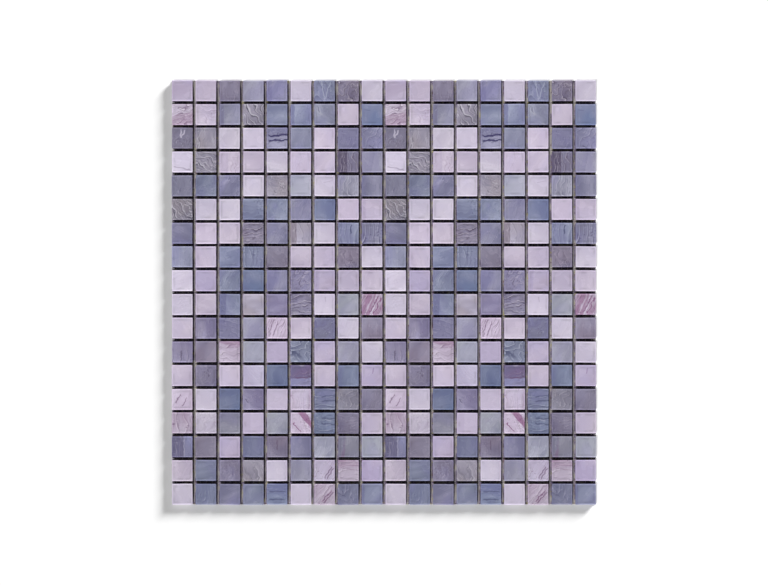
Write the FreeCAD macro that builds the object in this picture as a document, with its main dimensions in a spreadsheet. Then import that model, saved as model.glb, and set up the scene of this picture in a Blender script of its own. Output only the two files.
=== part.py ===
import FreeCAD, Part
import math
import os
import Sketcher

# A mosaic tile sheet: square pressed glass tesserae laid face up on a mesh of glass yarn.
# X runs along the courses, Y up the sheet and Z out of the show face.
# The origin is the centre of the sheet, on the plane that it lies on.

# Driving sizes: counts, lengths in millimetres and angles in degrees.
SIZES = {
    "columns": 18,
    "courses": 18,
    "tessera_side": 15.0,
    "tessera_thickness": 4.0,
    "joint_width": 2.05,
    "foot_height": 2.2,
    "foot_draft": 14.0,
    "arris": 0.55,
    "arris_ease": 0.25,
    "yarns_per_tessera": 4,
    "yarn_width": 0.8,
    "yarn_thickness": 0.2,
    "yarn_end": 1.2,
    "mesh_inset": 1.5,
    "laying_drift": 0.14,
    "laying_turn": 0.45,
}

# The glass in each course, from the top course down and from left to right.
# A longer course goes through its line again, and a taller sheet through all the lines.
LAYING_CHART = """
orchid blush plum dove iris pearl slate plum pearl
rose blush dove pewter slate slate dove blush denim
heather pewter pearl pearl iris dove blush iris iris
pearl pewter blush blush pearl blush blush plum dove
iris slate iris pearl pewter mist pearl dove iris
pewter pearl pearl slate slate iris denim blush blush
iris blush blush plum iris pewter pearl slate iris
dove blush slate slate plum blush blush plum pearl
pearl orchid slate denim iris heather orchid blush blush
pearl blush slate pewter heather heather pearl mist rose
blush heather iris dove rose blush iris pearl plum
heather plum rose mist orchid slate orchid dove pearl
blush heather blush blush denim plum blush slate orchid
rose pearl denim heather blush blush slate pewter heather
rose pearl dove blush mist rose slate heather blush
heather plum orchid slate plum iris mist dove mist
blush slate heather pewter pearl dove rose rose orchid
pearl slate iris slate slate pearl rose iris slate
"""

# Steps of three even spreads, which give each tessera its own small drift and turn.
DRIFT_STEP_X = 0.618034
DRIFT_STEP_Y = 0.754878
TURN_STEP = 0.569840

doc = FreeCAD.newDocument("mosaic_tile_sheet")
sheet = doc.addObject("Spreadsheet::Sheet", "Sizes")
for row, (name, value) in enumerate(SIZES.items(), start=1):
    sheet.set(f"A{row}", name)
    sheet.set(f"B{row}", str(value))
    sheet.setAlias(f"B{row}", name)
doc.recompute()

# One yarn of each layer runs under the middle of every joint, and the others divide the tessera evenly.
YARN_PITCH = "((Sizes.tessera_side + Sizes.joint_width) / Sizes.yarns_per_tessera)"


def size(name):
    """The value of one driving size."""
    return float(sheet.get(name))


def origin_feature(body, role):
    """An axis or plane of the body's own origin."""
    return next(item for item in body.Origin.OriginFeatures if item.Role == role)


def rectangle_sketch(body, name, width, height, offset):
    """A rectangle centred on the body's Z axis, its sides and offset bound to expressions."""
    sketch = body.newObject("Sketcher::SketchObject", name)
    sketch.AttachmentSupport = [(origin_feature(body, "XY_Plane"), "")]
    sketch.MapMode = "FlatFace"
    corners = [FreeCAD.Vector(x, y, 0) for x, y in ((-1, -1), (1, -1), (1, 1), (-1, 1))]
    for start, end in zip(corners, corners[1:] + corners[:1]):
        sketch.addGeometry(Part.LineSegment(start, end), False)
    for side in range(4):
        sketch.addConstraint(Sketcher.Constraint("Coincident", side, 2, (side + 1) % 4, 1))
        sketch.addConstraint(Sketcher.Constraint("Vertical" if side % 2 else "Horizontal", side))
    sketch.addConstraint(Sketcher.Constraint("Symmetric", 0, 1, 1, 2, -1, 1))
    for label, kind, side, expression in (("width", "DistanceX", 0, width), ("height", "DistanceY", 1, height)):
        index = sketch.addConstraint(Sketcher.Constraint(kind, side, 1, side, 2, 2.0))
        sketch.renameConstraint(index, label)
        sketch.setExpression(f"Constraints.{label}", expression)
    for axis, expression in offset.items():
        sketch.setExpression(f"AttachmentOffset.Base.{axis}", expression)
    return sketch


def edges_at_height(feature, height):
    """The names of a feature's level edges at a height."""
    names = []
    for number, edge in enumerate(feature.Shape.Edges, start=1):
        if all(abs(vertex.Z - height) < 1e-6 for vertex in edge.Vertexes):
            names.append(f"Edge{number}")
    return names


def chamfer(body, name, base, height, expression):
    """A chamfer on the feature's edges at a height."""
    feature = body.newObject("PartDesign::Chamfer", name)
    feature.Base = (base, edges_at_height(base, height))
    feature.setExpression("Size", expression)
    doc.recompute()
    return feature


def make_tessera():
    """One pressed tessera, its back on the plane of the origin and its show face up."""
    body = doc.addObject("PartDesign::Body", "tessera")
    outline = rectangle_sketch(body, "face_outline", "Sizes.tessera_side", "Sizes.tessera_side",
                               {"z": "Sizes.foot_height"})
    # The foot narrows towards the back, so that adhesive keys in around it.
    foot = body.newObject("PartDesign::Pad", "drafted_foot")
    foot.Profile = outline
    foot.Reversed = True
    foot.setExpression("Length", "Sizes.foot_height")
    foot.setExpression("TaperAngle", "-Sizes.foot_draft")
    doc.recompute()
    land = body.newObject("PartDesign::Pad", "upright_land")
    land.Profile = outline
    land.setExpression("Length", "Sizes.tessera_thickness - Sizes.foot_height")
    doc.recompute()
    # Two chamfers stand for the soft arris that the press leaves round the show face.
    face_height = size("tessera_thickness")
    bevel = chamfer(body, "arris_bevel", land, face_height, "Sizes.arris")
    chamfer(body, "arris_ease", bevel, face_height, "Sizes.arris_ease")
    return body


def spread(number, step):
    """A value from -1 to 1 that differs from tessera to tessera and repeats on each build."""
    return 2.0 * math.modf(number * step)[0] - 1.0


def tessera_placement(column, course):
    """Where a tessera sits: its place in the even grid, with a small drift and turn."""
    pitch = size("tessera_side") + size("joint_width")
    number = 1 + course * int(size("columns")) + column
    drift = size("laying_drift")
    x = (column - (size("columns") - 1) / 2) * pitch + drift * spread(number, DRIFT_STEP_X)
    y = ((size("courses") - 1) / 2 - course) * pitch + drift * spread(number, DRIFT_STEP_Y)
    back = FreeCAD.Vector(x, y, 2 * size("yarn_thickness"))
    turn = size("laying_turn") * spread(number, TURN_STEP)
    return FreeCAD.Placement(back, FreeCAD.Rotation(FreeCAD.Vector(0, 0, 1), turn))


def lay_tesserae(tessera):
    """All the tesserae of each glass, as one object for each glass."""
    chart = [line.split() for line in LAYING_CHART.split("\n") if line]
    laid = {}
    for course in range(int(size("courses"))):
        line = chart[course % len(chart)]
        for column in range(int(size("columns"))):
            placement = tessera_placement(column, course)
            piece = tessera.Shape.transformed(placement.toMatrix(), copy=True)
            laid.setdefault(line[column % len(line)], []).append(piece)
    made = []
    for glass, pieces in laid.items():
        feature = doc.addObject("Part::Feature", f"{glass}_tesserae")
        feature.Label = f"{glass}_tesserae"
        feature.Shape = Part.makeCompound(pieces)
        made.append(feature)
    return made


def yarn_steps(tesserae):
    """How many yarn pitches fit from the middle of the sheet to its outermost yarn, as an expression."""
    sheet_side = f"({tesserae} * (Sizes.tessera_side + Sizes.joint_width) - Sizes.joint_width)"
    return f"floor(({sheet_side} / 2 - Sizes.mesh_inset - Sizes.yarn_width / 2) / {YARN_PITCH})"


def yarn_length(tesserae):
    """The length of a yarn that crosses a layer's yarns and ends a little past the outermost ones."""
    return f"2 * {yarn_steps(tesserae)} * {YARN_PITCH} + Sizes.yarn_width + 2 * Sizes.yarn_end"


def make_yarns(label, tesserae, across, width, height, base_height):
    """One layer of the mesh: a flat yarn repeated across the sheet and centred on it."""
    body = doc.addObject("PartDesign::Body", label)
    body.Label = label
    steps = yarn_steps(tesserae)
    offset = {across.lower(): f"-{steps} * {YARN_PITCH}", "z": base_height}
    section = rectangle_sketch(body, f"{label}_outline", width, height, offset)
    yarn = body.newObject("PartDesign::Pad", f"{label}_first")
    yarn.Profile = section
    yarn.setExpression("Length", "Sizes.yarn_thickness")
    doc.recompute()
    pattern = body.newObject("PartDesign::LinearPattern", f"{label}_pattern")
    pattern.Originals = [yarn]
    pattern.Direction = (origin_feature(body, f"{across}_Axis"), [""])
    pattern.Mode = "Spacing"
    pattern.setExpression("Offset", YARN_PITCH)
    pattern.setExpression("Occurrences", f"2 * {steps} + 1")
    body.Tip = pattern
    return body


def make_mesh():
    """The backing mesh: weft yarns that the sheet lies on, and warp yarns that carry the glass."""
    weft = make_yarns("mesh_weft_yarns", "Sizes.courses", "Y",
                      yarn_length("Sizes.columns"), "Sizes.yarn_width", "0")
    warp = make_yarns("mesh_warp_yarns", "Sizes.columns", "X",
                      "Sizes.yarn_width", yarn_length("Sizes.courses"), "Sizes.yarn_thickness")
    return [weft, warp]


def check(nodes):
    """Stop where an object failed, or where a node has no sound solid."""
    for item in doc.Objects:
        if "Invalid" in item.State or "Error" in item.State:
            raise RuntimeError(f"{item.Name} failed: {item.State}")
    for node in nodes:
        if node.Shape.isNull() or not node.Shape.isValid() or not node.Shape.Solids:
            raise RuntimeError(f"{node.Label} has no sound solid")


def write(nodes):
    """Write one file for each node and print what it holds."""
    os.makedirs("parts", exist_ok=True)
    triangles = 0
    for node in nodes:
        node.Shape.exportStep(f"parts/{node.Label}.step")
        facets = sum(len(solid.tessellate(0.1)[1]) for solid in node.Shape.Solids)
        triangles += facets
        print(f"{node.Label}: {len(node.Shape.Solids)} solids, {node.Shape.Volume:.1f} mm3, {facets} triangles")
    bounds = FreeCAD.BoundBox()
    for node in nodes:
        bounds.add(node.Shape.BoundBox)
    print(f"sheet {bounds.XLength:.2f} x {bounds.YLength:.2f} x {bounds.ZLength:.2f} mm, {triangles} triangles")


tessera_body = make_tessera()
sheet_nodes = lay_tesserae(tessera_body) + make_mesh()
doc.recompute()
check(sheet_nodes)
write(sheet_nodes)
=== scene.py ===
import math
import types
import typing

import bpy
import numpy as np
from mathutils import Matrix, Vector


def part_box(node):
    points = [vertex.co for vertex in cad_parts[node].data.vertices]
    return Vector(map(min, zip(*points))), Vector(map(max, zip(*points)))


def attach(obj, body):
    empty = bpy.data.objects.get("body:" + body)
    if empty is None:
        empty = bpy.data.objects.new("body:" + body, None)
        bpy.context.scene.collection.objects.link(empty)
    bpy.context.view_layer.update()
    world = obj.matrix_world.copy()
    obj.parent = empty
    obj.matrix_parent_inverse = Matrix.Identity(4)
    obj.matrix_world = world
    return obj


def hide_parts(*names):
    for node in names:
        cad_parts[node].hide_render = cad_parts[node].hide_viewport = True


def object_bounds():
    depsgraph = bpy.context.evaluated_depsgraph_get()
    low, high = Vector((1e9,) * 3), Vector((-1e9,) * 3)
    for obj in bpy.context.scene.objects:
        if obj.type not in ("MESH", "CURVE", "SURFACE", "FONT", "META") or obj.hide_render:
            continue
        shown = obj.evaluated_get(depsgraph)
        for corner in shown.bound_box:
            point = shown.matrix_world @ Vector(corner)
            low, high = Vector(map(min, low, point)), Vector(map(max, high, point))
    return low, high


# A mosaic tile sheet: streaky glass tesserae on a mesh of glass yarn, seen from straight above.
# Lengths are in metres, in the frame of the part. Colours are written as display values from 0 to 255.

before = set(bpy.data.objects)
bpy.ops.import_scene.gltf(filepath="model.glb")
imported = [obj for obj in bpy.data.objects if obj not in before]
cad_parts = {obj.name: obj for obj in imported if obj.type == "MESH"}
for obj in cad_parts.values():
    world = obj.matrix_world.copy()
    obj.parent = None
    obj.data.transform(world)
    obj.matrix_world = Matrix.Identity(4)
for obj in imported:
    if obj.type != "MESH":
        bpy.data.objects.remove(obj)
cad_low, cad_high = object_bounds()
face_top = cad_high.z
mesh_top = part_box("mesh_warp_yarns")[1].z

MM = 0.001

# The sheet and its tesserae
SIDE = 15.0 * MM
HALF = SIDE / 2
JOINT = 2.05 * MM
PITCH = SIDE + JOINT
THICKNESS = 4.0 * MM
FOOT_HEIGHT = 2.2 * MM
FOOT_DRAFT = math.radians(14)
COLUMNS = 18
COURSES = 18
BLEND_COLUMNS = 9
TESSERA_SEED = 7

# The show face: its arris, in rings at these angles, the land, the shoulder, and even cells inside that
ARRIS_WIDTH = 1.0 * MM
ARRIS_ANGLES = (20, 40, 60)
ARRIS_TURN = math.radians(ARRIS_ANGLES[-1])
ARRIS_RADIUS = ARRIS_WIDTH / math.sin(ARRIS_TURN)
ARRIS_DROP = ARRIS_RADIUS * (1 - math.cos(ARRIS_TURN))
LAND_DROP = 0.12 * MM
CORNER_ROUNDING = 0.45
RIM_WIDTH = 1.4 * MM
SHOULDER_WIDTH = 2.0 * MM
SHOULDER_DROP = 0.05 * MM
FACE_CELLS = 8
FACE_RELIEF = 0.035 * MM
FACE_WAVES = (6 * MM, 16 * MM)
EDGE_WAVER = 0.08 * MM
EDGE_WAVES = (4 * MM, 14 * MM)
SHARP_ANGLE = math.radians(50)

# The sides and the back: rings of points below the face, the back's eased border, the share of the foot's
# narrowing where the ease starts, and the ribs
SIDE_RINGS = 4
BACK_EASE = 0.25 * MM
EASE_NARROWING = 0.85
RIB_DEPTH = 0.22 * MM

# The mesh
YARN_WIDTH = 0.8 * MM
YARN_HALF_RISE = 0.03 * MM
YARNS_PER_TESSERA = 4
YARN_SIDES = 6

# The adhesive that stands at the foot of each tessera: its points all the way round and across, and its sizes
BEAD_POINTS = 48
BEAD_ROWS = 4
BEAD_HEIGHT = 0.54 * MM
BEAD_HEIGHT_SPREAD = 0.45 * MM
BEAD_HEIGHT_WAVES = (3 * MM, 9 * MM)
BEAD_REACH = 0.92 * MM
BEAD_REACH_SPREAD = 0.18 * MM
BEAD_REACH_WAVES = (2 * MM, 8 * MM)
BEAD_END_REACH = 1.0 * MM
BEAD_SHOULDER_OUT = 0.15 * MM
BEAD_SHOULDER_SHARE = 0.45
BEAD_BASE = 0.1 * MM
BEAD_DEPTH = 1.2 * MM
BEAD_OVERLAP = 0.1 * MM
BORDER_CLEARANCE = 0.1 * MM
BEAD_SEED = 11

# How much painted shade darkens the glass's sides in the joints: on the land, on the foot, and on the sheet's
# outside, where less is painted
PAINTED_SHADE_ON_LAND = 0.8
PAINTED_SHADE_ON_FOOT = 1.0
PAINTED_SHADE_OUTSIDE = 0.25

# The photograph's framing
IMAGE_WIDTH = 768
SHEET_PIXELS = 424.6
LENS = 120.0
SENSOR = 36.0

# The light on the sheet, as shares of the level at which a level surface shows its own colour
KEY_SHARE = 0.445
COUNTER_SHARE = 0.425
SIDE_SHARE = 0.1
SKY_SHARE = 0.03
LAMP_ELEVATION = 22
LAMP_LEAN = 7.5
LAMP_ANGLE = 9
SIDE_AZIMUTH = 120
SIDE_ELEVATION = 18
GLOSS_SHARE = 0.3
GLOSS_ANGLE = 60

# The floor and its own light
FLOOR_SIZE = 6.0
FLOOR_GAP = 0.05 * MM
FLOOR_ALBEDO = 0.8
FLOOR_KEY_SHARE = 0.61
FLOOR_KEY_AZIMUTH = 45
FLOOR_KEY_ELEVATION = 17
FLOOR_KEY_ANGLE = 18
FLOOR_FILL_SHARE = 0.42
FLOOR_FILL_AZIMUTH = 225
FLOOR_FILL_ELEVATION = 66
FLOOR_FILL_ANGLE = 6

# The sheen that polished glass adds to its own colour
SHEEN = 0.03


def linear(value):
    """One display value from 0 to 255 as linear light."""
    share = value / 255
    return share / 12.92 if share <= 0.04045 else ((share + 0.055) / 1.055) ** 2.4


def colour(red, green, blue):
    """A display colour as the linear colour that a shader takes."""
    return (linear(red), linear(green), linear(blue), 1.0)


def glassy(red, green, blue):
    """The colour inside polished glass that shows as this display colour with the sheen on it."""
    return tuple(max(linear(value) - SHEEN, 0.0) for value in (red, green, blue)) + (1.0,)


class Glass(typing.NamedTuple):
    """The tones of one glass, the colours of its dark and light streaks, and how streaky it usually is."""
    deep: tuple
    pale: tuple
    tint: tuple
    dark: tuple
    light: tuple
    streaks: float


GLASSES = {
    "pearl": Glass((194, 185, 205), (210, 202, 218), (201, 193, 215), (158, 144, 170), (232, 227, 238), 0.16),
    "blush": Glass((189, 177, 199), (206, 195, 213), (192, 182, 208), (156, 136, 164), (226, 216, 230), 0.16),
    "orchid": Glass((176, 163, 188), (191, 180, 203), (178, 169, 203), (150, 130, 166), (208, 198, 218), 0.12),
    "rose": Glass((182, 167, 189), (201, 190, 209), (194, 181, 202), (92, 68, 98), (228, 218, 230), 0.55),
    "mist": Glass((147, 147, 169), (173, 172, 190), (166, 168, 176), (122, 124, 146), (200, 202, 212), 0.22),
    "dove": Glass((136, 134, 154), (165, 163, 180), (142, 138, 170), (102, 100, 122), (190, 190, 204), 0.25),
    "pewter": Glass((132, 127, 145), (168, 162, 178), (152, 143, 150), (84, 80, 96), (204, 200, 212), 0.6),
    "slate": Glass((115, 119, 146), (147, 151, 174), (124, 123, 161), (78, 82, 112), (178, 182, 202), 0.35),
    "denim": Glass((109, 115, 148), (133, 137, 163), (106, 119, 152), (66, 76, 110), (160, 168, 192), 0.15),
    "iris": Glass((117, 116, 142), (149, 147, 170), (122, 119, 158), (72, 68, 102), (184, 182, 204), 0.35),
    "heather": Glass((114, 108, 136), (148, 143, 168), (132, 125, 144), (80, 72, 98), (188, 182, 200), 0.4),
    "plum": Glass((112, 105, 129), (148, 142, 163), (133, 122, 139), (72, 62, 86), (186, 178, 194), 0.45),
}

# The stain in some glass, what cool glass is multiplied by, and the near-black painted shade on the sides in
# the joints
STAIN = (130, 70, 118)
COOL = (0.7, 0.87, 1.08)
PAINTED_SHADE = (31, 27, 33)

# How far each layer of the glass covers the one below it, as a share
TINT_COVER = 0.55
SEAM_TINT_COVER = 0.8
SEAM_DARK_COVER = 0.65
DARK_STREAK_COVER = 0.85
LIGHT_STREAK_COVER = 0.8
DARK_BUBBLE_COVER = 0.6
LIGHT_BUBBLE_COVER = 0.5
STAIN_COVER = 0.7
PAINTED_SHADE_COVER = 0.97

# By how much the bands, a step of tone, the shade inside the rim and the painted highlight on the arris change
# the glass
BANDING = 0.9
TONE_STEP = 0.25
RIM_SHADE = 0.17
PAINTED_ARRIS_HIGHLIGHT = 0.17

# How far full swirl carries the streaks, and how far the grain steps from tessera to tessera, in millimetres
SWIRL_REACH = 16.0
GRAIN_STEP = 29.0

# The index of the glass, and the depth of its fine relief
GLASS_IOR = 1.52
GLASS_BUMP = 0.12 * MM

# Coated yarn and dried adhesive: the two tones that their grain mixes, and the patches or spots on them. The
# weft's yarn is a darker copy of the same yarn, painted shade for the shaded joints between courses
SHADED_YARN = {"dark": (92, 88, 92), "light": (118, 114, 116), "binder": (92, 90, 78)}
COATED_YARN = {"dark": (150, 145, 147), "light": (186, 181, 183), "binder": (146, 142, 132)}
ADHESIVE_DARK = (98, 87, 109)
ADHESIVE_LIGHT = (150, 138, 164)
ADHESIVE_PALE = (150, 145, 141)
ADHESIVE_OLIVE = (148, 141, 105)
ADHESIVE_BROWN = (104, 84, 92)
DULL_SPECULAR = 0.08
YARN_BUMP = 0.05 * MM
ADHESIVE_BUMP = 0.1 * MM


class Mark(typing.NamedTuple):
    """How a tessera is streaked: wider over 1, lighter over 0, and bluer by the share in cool."""
    angle: float
    streaks: float
    swirl: float = 0.2
    width: float = 1.0
    stain: float = 0.0
    tone: float = 0.0
    cool: float = 0.0


class Seam(typing.NamedTuple):
    """Where two tones meet: the deeper tone lies to the left of the seam's own direction, over its width."""
    angle: float
    place: float
    depth: float
    width: float = 200.0


class Vein(typing.NamedTuple):
    """One streak, light where its strength is below 0, or two with a gap, which fork where it is below 0."""
    angle: float
    x: float
    y: float
    length: float
    strength: float
    gap: float = 0.0


# What sets single tesserae of the blend apart, by course and column from the upper left. An angle says how a
# streak runs, in degrees from the course, a place is in millimetres from the middle of the face, and the
# strength of streaks, swirl, stain, seam or vein goes from 0 to about 1.
MARKS = {
    (1, 1): Mark(20, 0.1),
    (1, 3): Mark(85, 0.35, 0.4),
    (1, 4): Mark(70, 0.2, 0.4, tone=0.5),
    (1, 5): Mark(62, 0.4, 0.4, tone=1.0),
    (1, 7): Mark(-74, 0.6, 0.3, 2.0),
    (1, 8): Mark(52, 0.95, 0.8, 1.8),
    (2, 1): Mark(17, 0.9, 0.5, 1.4, stain=0.6),
    (2, 2): Mark(-10, 0.55, 0.5, 1.4, stain=0.1),
    (2, 3): Mark(60, 0.2, 0.3, cool=0.1),
    (2, 4): Mark(-62, 1.0, 0.4, 1.4),
    (2, 5): Mark(0, 0.1, tone=0.5),
    (2, 6): Mark(85, 0.3, 0.4, tone=1.0),
    (2, 7): Mark(-60, 0.5, 0.6, 1.5, cool=0.3),
    (2, 8): Mark(-70, 0.1),
    (2, 9): Mark(85, 0.1, tone=0.5),
    (3, 1): Mark(65, 0.4, 0.4, tone=-1.0),
    (3, 2): Mark(85, 0.5, 0.5),
    (3, 4): Mark(85, 0.1, tone=0.5),
    (3, 5): Mark(4, 0.5, 0.4, 1.2, tone=1.0),
    (3, 6): Mark(75, 0.2, 0.4, tone=0.5, cool=0.3),
    (3, 7): Mark(88, 0.1, tone=0.5),
    (3, 8): Mark(80, 0.3, 0.3, 1.8),
    (3, 9): Mark(62, 0.7, 0.4, 2.2, tone=1.0),
    (4, 1): Mark(-12, 0.3, tone=0.5),
    (4, 2): Mark(-40, 0.95, 0.5, 1.5),
    (4, 3): Mark(70, 0.3, 0.7, stain=0.2),
    (4, 4): Mark(10, 0.1),
    (4, 6): Mark(88, 0.2, tone=0.5),
    (4, 8): Mark(88, 0.75, 0.3, 1.4, cool=0.3),
    (4, 9): Mark(78, 0.2, tone=0.5),
    (5, 1): Mark(80, 0.4, 0.6, tone=-1.0),
    (5, 2): Mark(50, 0.3, 0.6, tone=-0.5),
    (5, 3): Mark(60, 0.5, 0.6, tone=0.5),
    (5, 5): Mark(-35, 0.6, 0.8, 1.1, tone=0.5),
    (5, 6): Mark(0, 0.2, tone=0.5),
    (5, 8): Mark(88, 0.8, 0.3, 1.6, tone=0.5),
    (5, 9): Mark(80, 0.2),
    (6, 1): Mark(-55, 0.95, 0.6, 1.1, tone=-1.0),
    (6, 4): Mark(3, 0.5, 0.3, 1.3, tone=0.5),
    (6, 5): Mark(60, 0.3, 0.7, tone=0.5),
    (6, 7): Mark(80, 0.1, tone=0.5),
    (6, 8): Mark(70, 0.1, tone=0.5),
    (7, 2): Mark(80, 0.1, tone=0.5),
    (7, 4): Mark(4, 1.0, 0.4, 1.0),
    (7, 5): Mark(60, 0.4, 0.4),
    (7, 6): Mark(88, 0.5, 0.4, 1.4, stain=0.3, tone=1.5),
    (7, 8): Mark(90, 0.6, 0.15, 1.5),
    (7, 9): Mark(88, 0.8, 0.1, 1.6),
    (8, 1): Mark(88, 0.3, 0.2, 1.6, tone=0.5, cool=0.3),
    (8, 3): Mark(10, 0.3, 0.5, tone=1.0),
    (8, 4): Mark(88, 0.6, 0.15, 1.8),
    (8, 5): Mark(-40, 0.4, 0.9, tone=-0.5),
    (8, 8): Mark(-66, 0.55, 0.5, 1.5),
    (9, 1): Mark(20, 0.2, tone=0.5),
    (9, 3): Mark(62, 0.5, 0.4),
    (9, 5): Mark(80, 0.2, tone=0.5),
    (9, 6): Mark(-45, 0.8, 1.0, 1.8, tone=1.5, cool=0.2),
    (10, 1): Mark(12, 0.25, 0.4),
    (10, 4): Mark(0, 0.05, tone=1.5),
    (10, 5): Mark(0, 0.1, tone=1.5),
    (10, 6): Mark(3, 1.05, 0.3, 1.3),
    (10, 7): Mark(80, 0.1, tone=0.5),
    (10, 9): Mark(70, 0.8, 0.4, 0.55, stain=0.9),
    (11, 2): Mark(88, 0.4, 0.4, tone=1.0),
    (11, 3): Mark(4, 0.35, 0.3, 2.0),
    (11, 4): Mark(60, 0.2, 0.3, tone=0.5),
    (11, 5): Mark(68, 0.7, 0.3, 0.9, stain=0.1, tone=1.0),
    (11, 7): Mark(30, 0.5, 1.0),
    (11, 9): Mark(88, 0.2, tone=0.5),
    (12, 1): Mark(86, 0.5, 0.3, 1.5, tone=1.0),
    (12, 2): Mark(60, 0.1, tone=0.5),
    (12, 3): Mark(-3, 0.6, 0.3, 1.2, stain=0.75),
    (12, 5): Mark(86, 0.1),
    (12, 6): Mark(58, 1.0, 0.7, 3.4, tone=-0.5),
    (12, 8): Mark(60, 0.2, tone=0.5),
    (13, 1): Mark(5, 0.1),
    (13, 2): Mark(20, 0.5, 0.8, 1.8),
    (13, 4): Mark(-50, 0.3, cool=0.3),
    (13, 5): Mark(80, 0.2, 0.3, tone=-0.5, cool=0.3),
    (13, 6): Mark(12, 0.6, 0.4, 1.6, stain=0.45, tone=3.0, cool=0.6),
    (13, 8): Mark(80, 0.1, 0.1, tone=-0.5, cool=0.3),
    (14, 1): Mark(62, 0.2, 0.5, stain=0.15, tone=0.5),
    (14, 3): Mark(10, 0.1, 0.1, tone=-0.5, cool=0.2),
    (14, 4): Mark(-40, 0.4, 0.6, tone=1.0),
    (14, 6): Mark(88, 0.5, 0.15, 1.8, stain=0.35),
    (14, 7): Mark(2, 0.8, 0.1, 1.7),
    (14, 8): Mark(62, 0.5, 0.6, 1.6, stain=0.1, tone=-1.0, cool=0.2),
    (14, 9): Mark(70, 0.3, 0.5, tone=-0.5),
    (15, 1): Mark(86, 0.7, 0.15, 2.2, stain=0.45, tone=-0.5),
    (15, 2): Mark(20, 0.5, 0.9, 1.0, stain=0.25, tone=-0.5),
    (15, 3): Mark(0, 0.15, tone=-0.5),
    (15, 5): Mark(70, 0.4, 0.9, tone=-0.5),
    (15, 6): Mark(-52, 0.5, 0.9, 1.2, stain=1.0, tone=0.5),
    (15, 7): Mark(2, 0.7, 0.1, 1.8, tone=-1.0, cool=0.4),
    (15, 8): Mark(0, 0.4, 0.2, tone=-0.5),
    (16, 1): Mark(88, 0.4, 0.2, tone=0.5, cool=0.5),
    (16, 2): Mark(20, 0.2, 0.4, tone=-0.5),
    (16, 4): Mark(80, 0.1, 0.1, tone=-0.5),
    (16, 5): Mark(88, 0.3, stain=0.1),
    (16, 7): Mark(68, 0.4, 0.3),
    (16, 8): Mark(88, 0.3, 0.2, 1.6, stain=0.6, tone=-1.0),
    (17, 1): Mark(70, 0.3, tone=-0.5),
    (17, 2): Mark(0, 0.3, 0.4, tone=-0.5),
    (17, 3): Mark(80, 0.5, 0.7),
    (17, 4): Mark(-56, 0.5, 0.3, 1.4, tone=-0.5),
    (17, 5): Mark(88, 0.1),
    (17, 7): Mark(60, 0.4, 0.2, 1.1, stain=0.1, cool=0.2),
    (17, 8): Mark(8, 0.5, 0.3, 1.2, stain=0.65, tone=-0.5),
    (17, 9): Mark(85, 0.1, stain=0.3),
    (18, 2): Mark(88, 0.5, 0.2),
    (18, 4): Mark(30, 0.2, tone=-0.5),
    (18, 5): Mark(0, 0.4, 0.1, cool=0.3),
    (18, 7): Mark(50, 0.7, 0.3, 1.2, stain=0.35, tone=-0.5),
    (18, 8): Mark(30, 0.4, 0.9, 2.0, tone=-1.0, cool=0.3),
}
SEAMS = {
    (1, 5): Seam(90, -3.5, 0.5),
    (2, 1): Seam(186, 0.5, 0.2),
    (2, 3): Seam(90, -4.2, 0.8),
    (2, 6): Seam(90, -4.6, 0.7),
    (3, 8): Seam(90, 8.0, 0.5),
    (4, 3): Seam(90, -1.0, 0.5),
    (4, 8): Seam(90, -0.8, 1.0),
    (4, 9): Seam(78, 0.8, 0.6),
    (6, 9): Seam(90, -4.4, 0.6),
    (7, 6): Seam(90, -3.0, 0.8),
    (9, 7): Seam(88, -3.6, 0.5),
    (10, 3): Seam(88, -2.6, 0.7),
    (10, 8): Seam(35, 0.5, 0.4),
    (11, 3): Seam(0, -8.0, 0.5),
    (12, 3): Seam(0, 2.6, 0.4),
    (12, 5): Seam(90, 8.0, 0.4),
    (13, 6): Seam(1, -2.2, 1.0),
    (15, 4): Seam(90, -2.0, 0.5),
    (15, 6): Seam(-48, 4.2, 0.2, width=4.4),
    (16, 1): Seam(92, 1.0, 0.9),
    (16, 4): Seam(90, 8.0, 0.5),
    (16, 8): Seam(88, -2.4, 0.5),
    (17, 8): Seam(8, 1.2, 0.3),
    (17, 9): Seam(90, 5.5, 0.3),
    (18, 9): Seam(90, -5.5, 0.6),
}
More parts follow.
